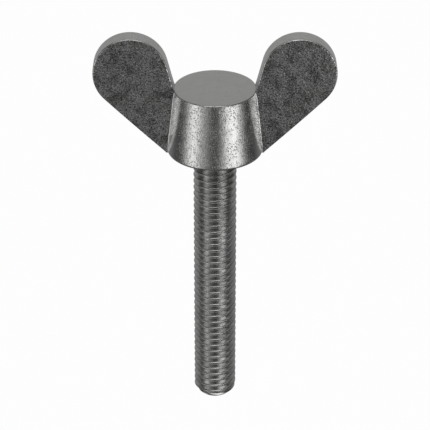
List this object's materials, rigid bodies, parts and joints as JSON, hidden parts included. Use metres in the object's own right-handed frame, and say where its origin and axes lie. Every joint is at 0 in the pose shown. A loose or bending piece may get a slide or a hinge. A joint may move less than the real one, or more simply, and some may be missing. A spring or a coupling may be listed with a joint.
{
  "type": "wing screw",
  "caption": "Wing screw with a closed round hub, flat round-lobed wings and a fully threaded M6 stud, for fastening by hand without tools.",
  "frame": {"origin": "centre of the hub's flat underside, the bearing plane, on the thread's axis", "axes": "+Z along the thread's axis from the stud towards the hub's top, +X towards the right wing, +Y completes a right-handed set; the stud points down -Z"},
  "size_m": [0.033, 0.0132, 0.0571],
  "materials": {
    "hub_steel": "plain steel, tumbled smooth, satin gloss with fine pits",
    "wing_steel": "plain steel, finely grained skin, satin",
    "stud_steel": "plain steel, rolled thread with bright crests"
  },
  "bodies": {
    "root": {"hub": "hub_steel", "wing_left": "wing_steel", "wing_right": "wing_steel", "threaded_stud": "stud_steel"}
  },
  "joints": []
}
